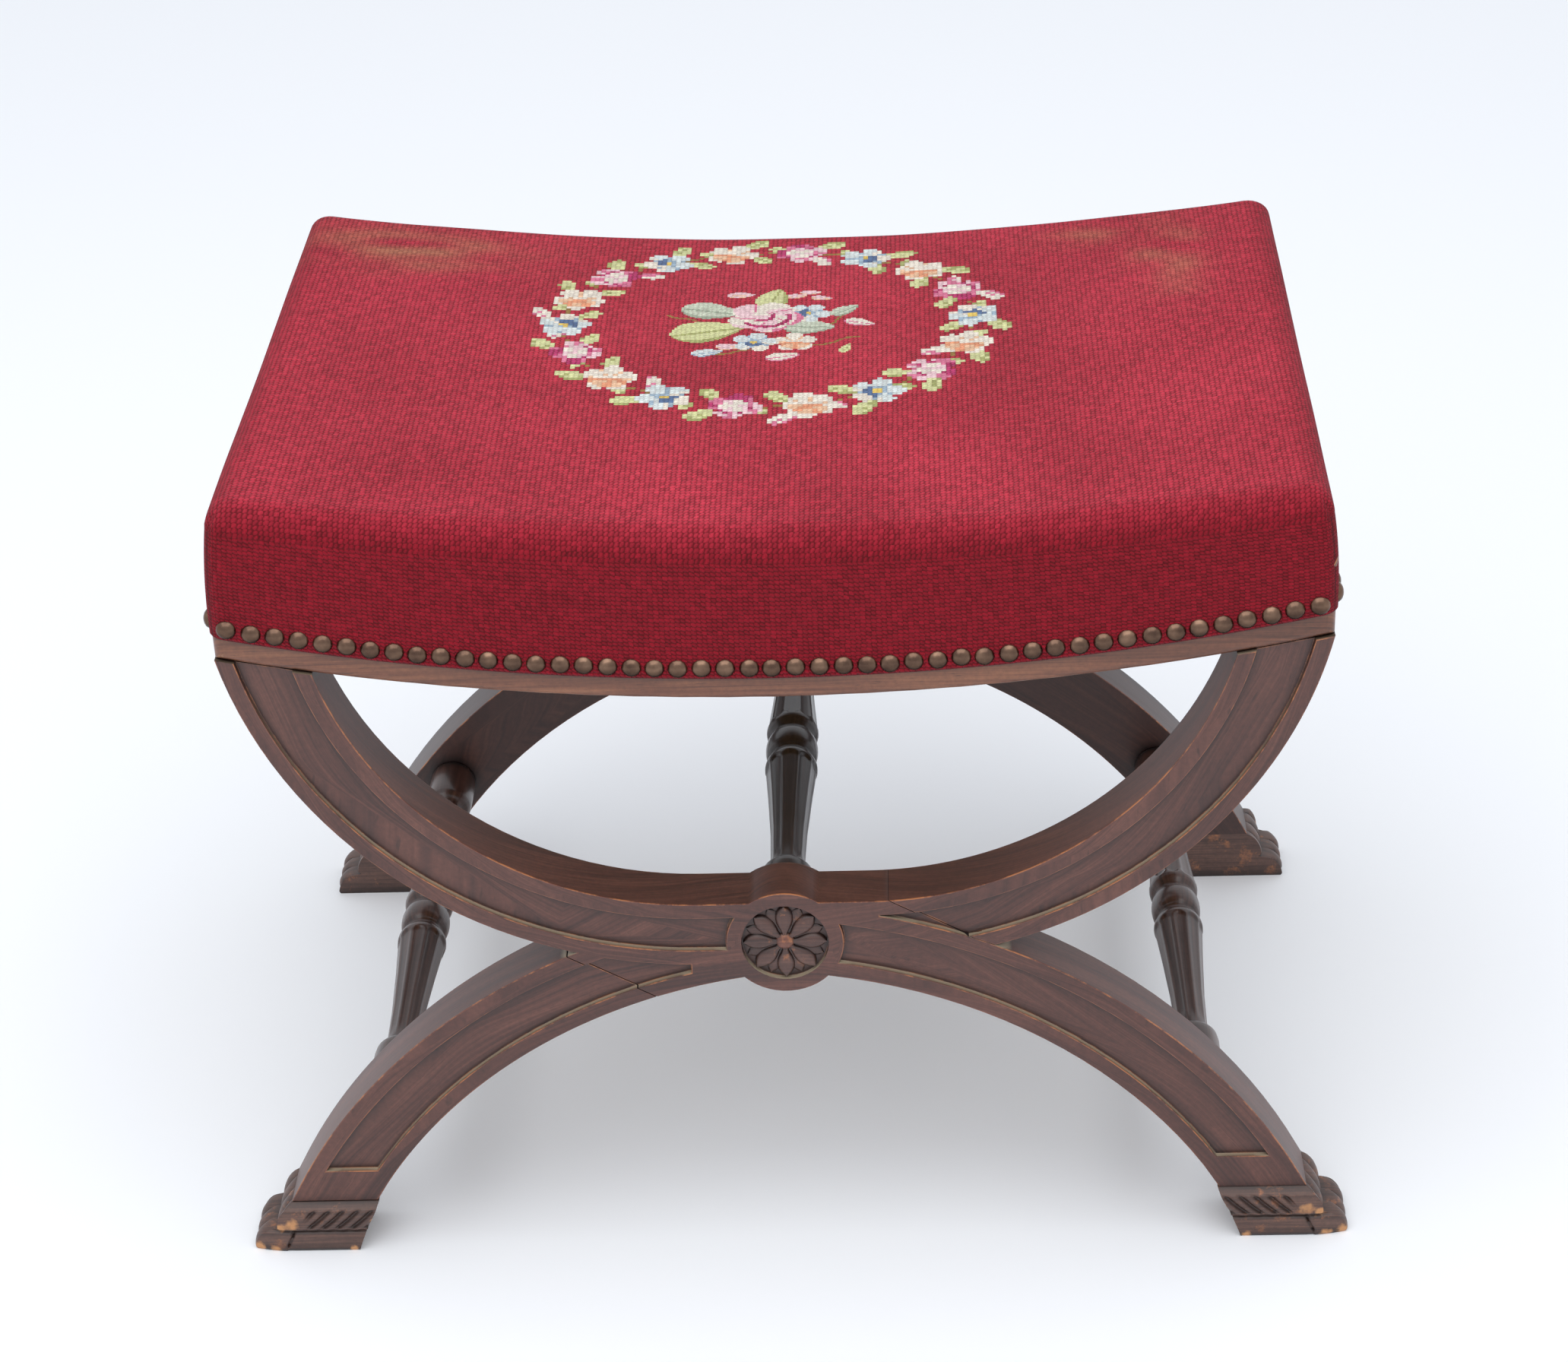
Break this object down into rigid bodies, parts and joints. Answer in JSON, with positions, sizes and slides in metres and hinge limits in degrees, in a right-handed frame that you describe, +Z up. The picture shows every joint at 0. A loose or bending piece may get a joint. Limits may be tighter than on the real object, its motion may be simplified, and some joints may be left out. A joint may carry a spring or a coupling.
{
  "type": "x frame stool",
  "caption": "Stool on two carved X frames with a rosette, paw feet and turned fluted stretchers, under a dished needlepoint seat edged with dome nails.",
  "frame": {"origin": "centre of the stool's footprint, on the floor", "axes": "+X along the stool to its right end, -Y to the front, +Z up"},
  "size_m": [0.604, 0.393, 0.4573],
  "materials": {
    "stained_wood": "satin",
    "turned_wood": "satin",
    "plain_wood": "matte",
    "webbing": "matte",
    "hessian": "matte",
    "stuffing": "matte",
    "needlepoint": "matte",
    "nail_brass": "satin"
  },
  "bodies": {
    "root": {"front_main_limb": "stained_wood", "front_upper_arm": "stained_wood", "front_lower_leg": "stained_wood", "rear_main_limb": "stained_wood", "rear_upper_arm": "stained_wood", "rear_lower_leg": "stained_wood", "foot_front_left": "stained_wood", "foot_front_right": "stained_wood", "foot_rear_left": "stained_wood", "foot_rear_right": "stained_wood", "rail_front": "stained_wood", "rail_rear": "stained_wood", "rail_left": "stained_wood", "rail_right": "stained_wood", "stretcher_centre": "turned_wood", "stretcher_left": "turned_wood", "stretcher_right": "turned_wood", "corner_block_front_left": "plain_wood", "corner_block_front_right": "plain_wood", "corner_block_rear_left": "plain_wood", "corner_block_rear_right": "plain_wood", "rail_dowels": "plain_wood", "foot_dowels": "plain_wood", "seat_webbing": "webbing", "seat_hessian": "hessian", "seat_stuffing": "stuffing", "needlepoint_cover": "needlepoint", "nails_front": "nail_brass", "nails_rear": "nail_brass", "nails_left": "nail_brass", "nails_right": "nail_brass"}
  },
  "joints": []
}
